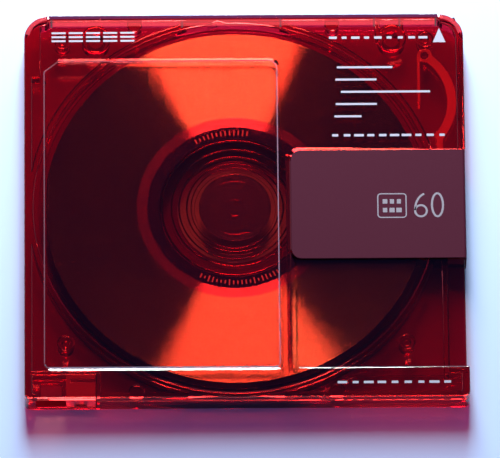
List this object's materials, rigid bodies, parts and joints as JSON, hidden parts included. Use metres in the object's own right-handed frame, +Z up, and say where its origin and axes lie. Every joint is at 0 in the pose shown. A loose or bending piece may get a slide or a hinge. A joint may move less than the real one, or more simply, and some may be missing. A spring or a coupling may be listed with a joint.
{
  "type": "mini disc cartridge",
  "caption": "Flat translucent cartridge that holds a small optical disc, with a sliding shutter, a shutter lock and a write-protect tab.",
  "frame": {"origin": "centre of the case's footprint, on the plane of its underside", "axes": "+X to the right, towards the shutter's side; +Y the way the cartridge is pushed in, towards its leading end; +Z up out of the label side"},
  "size_m": [0.072, 0.068, 0.005],
  "materials": {
    "upper_shell": "polished translucent red polycarbonate",
    "lower_shell": "polished translucent red polycarbonate",
    "disc_substrate": "clear polished polycarbonate",
    "recording_layer": "vacuum-coated mirror layer with a fine spiral groove",
    "clamping_plate": "stamped magnetic steel",
    "shutter": "satin painted sheet",
    "shutter_slider": "moulded low-friction plastic",
    "lock_lever": "moulded translucent red plastic",
    "protect_tab": "moulded translucent red plastic"
  },
  "bodies": {
    "case": {"upper_shell": "upper_shell", "lower_shell": "lower_shell"},
    "disc": {"disc_substrate": "disc_substrate", "recording_layer": "recording_layer", "clamping_plate": "clamping_plate"},
    "shutter": {"shutter": "shutter", "shutter_slider": "shutter_slider"},
    "lock_lever": {"lock_lever": "lock_lever"},
    "protect_tab": {"protect_tab": "protect_tab"}
  },
  "joints": [
    {"name": "shutter_slide", "type": "slide", "parent": "case", "child": "shutter", "axis": [0, -1, 0], "range_m": [0, 0.019]},
    {"name": "disc_spin", "type": "hinge", "parent": "case", "child": "disc", "pos_m": [-0.0017, 0, 0.0027], "axis": [0, 0, 1], "continuous": true},
    {"name": "lock_lever_pivot", "type": "hinge", "parent": "case", "child": "lock_lever", "pos_m": [0.0296, 0.0268, 0.0025], "axis": [0, 0, -1], "range_deg": [0, 3], "stiffness_Nm_per_rad": 0.02},
    {"name": "protect_tab_slide", "type": "slide", "parent": "case", "child": "protect_tab", "axis": [-1, 0, 0], "range_m": [0, 0.0047]}
  ]
}
